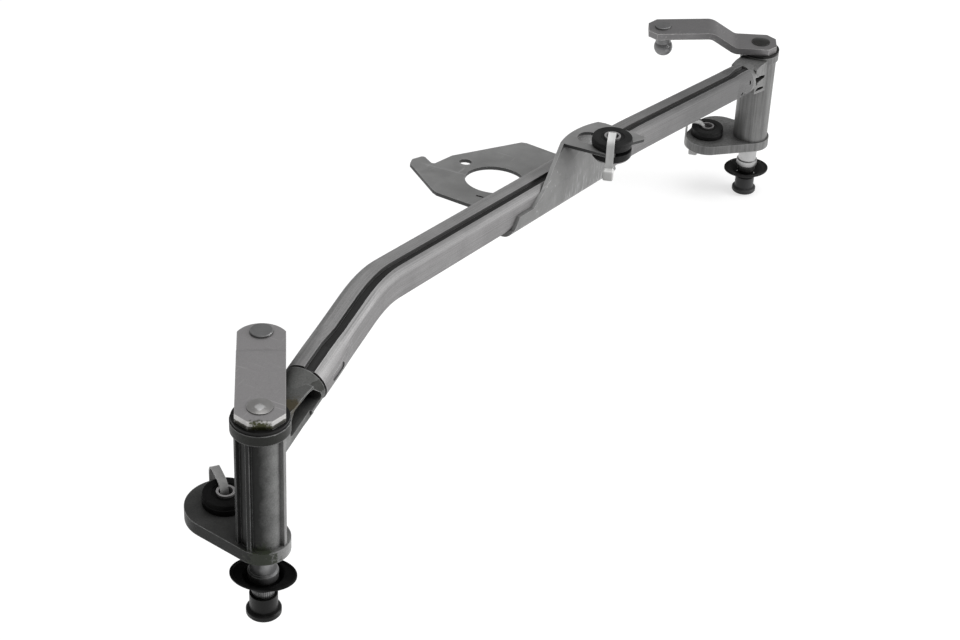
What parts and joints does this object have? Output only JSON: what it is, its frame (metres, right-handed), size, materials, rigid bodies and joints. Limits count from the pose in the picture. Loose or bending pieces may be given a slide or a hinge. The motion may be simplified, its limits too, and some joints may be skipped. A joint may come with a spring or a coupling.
{
  "type": "wiper linkage",
  "caption": "Front wiper linkage frame: bent grooved tube between cast spindle housings, pressed motor bracket, cranks with ball studs, rubber mounts",
  "frame": {"origin": "near spindle's axis at the underside of the near housing's flange", "axes": "+X level towards the far spindle, +Z along the spindles towards the cranks"},
  "size_m": [0.6751, 0.1182, 0.2447],
  "materials": {
    "tube_steel": "satin, drawn lengthwise",
    "pressed_steel": "matt zinc coat",
    "near_casting": "as cast, dark",
    "far_casting": "as cast",
    "zinc_steel": "satin zinc",
    "stud_steel": "turned",
    "bright_steel": "ground",
    "spring_steel": "oil black",
    "bronze": "sintered",
    "rubber": "matt",
    "black_plastic": "matt",
    "nylon": "natural nylon, slightly clear"
  },
  "bodies": {
    "frame": {"far_grommet": "rubber", "far_housing": "far_casting", "far_lower_bush": "bronze", "far_sleeve": "zinc_steel", "far_tie": "nylon", "far_upper_bush": "bronze", "frame_tube": "tube_steel", "mid_grommet": "rubber", "mid_sleeve": "zinc_steel", "mid_tie": "nylon", "mid_washer": "zinc_steel", "motor_bracket": "pressed_steel", "near_grommet": "rubber", "near_housing": "near_casting", "near_lower_bush": "bronze", "near_sleeve": "zinc_steel", "near_tie": "nylon", "near_upper_bush": "bronze"},
    "near_crank": {"near_spindle": "bright_steel", "near_lever": "zinc_steel", "near_ball_stud": "stud_steel", "near_thrust_washer": "black_plastic", "near_shim": "bright_steel", "near_spring_clip": "spring_steel", "near_o_ring": "rubber", "near_seal_dish": "rubber", "near_cap": "black_plastic"},
    "far_crank": {"far_spindle": "bright_steel", "far_lever": "zinc_steel", "far_ball_stud": "stud_steel", "far_thrust_washer": "black_plastic", "far_shim": "bright_steel", "far_spring_clip": "spring_steel", "far_o_ring": "rubber", "far_seal_dish": "rubber", "far_cap": "black_plastic"}
  },
  "joints": [
    {"name": "near_crank_turn", "type": "hinge", "parent": "frame", "child": "near_crank", "pos_m": [0, 0, 0.0716], "axis": [0, 0, 1], "range_deg": [-2, 95]},
    {"name": "far_crank_turn", "type": "hinge", "parent": "frame", "child": "far_crank", "pos_m": [0.648, 0, -0.05081], "axis": [0, 0, 1], "range_deg": [-80, 17]}
  ]
}
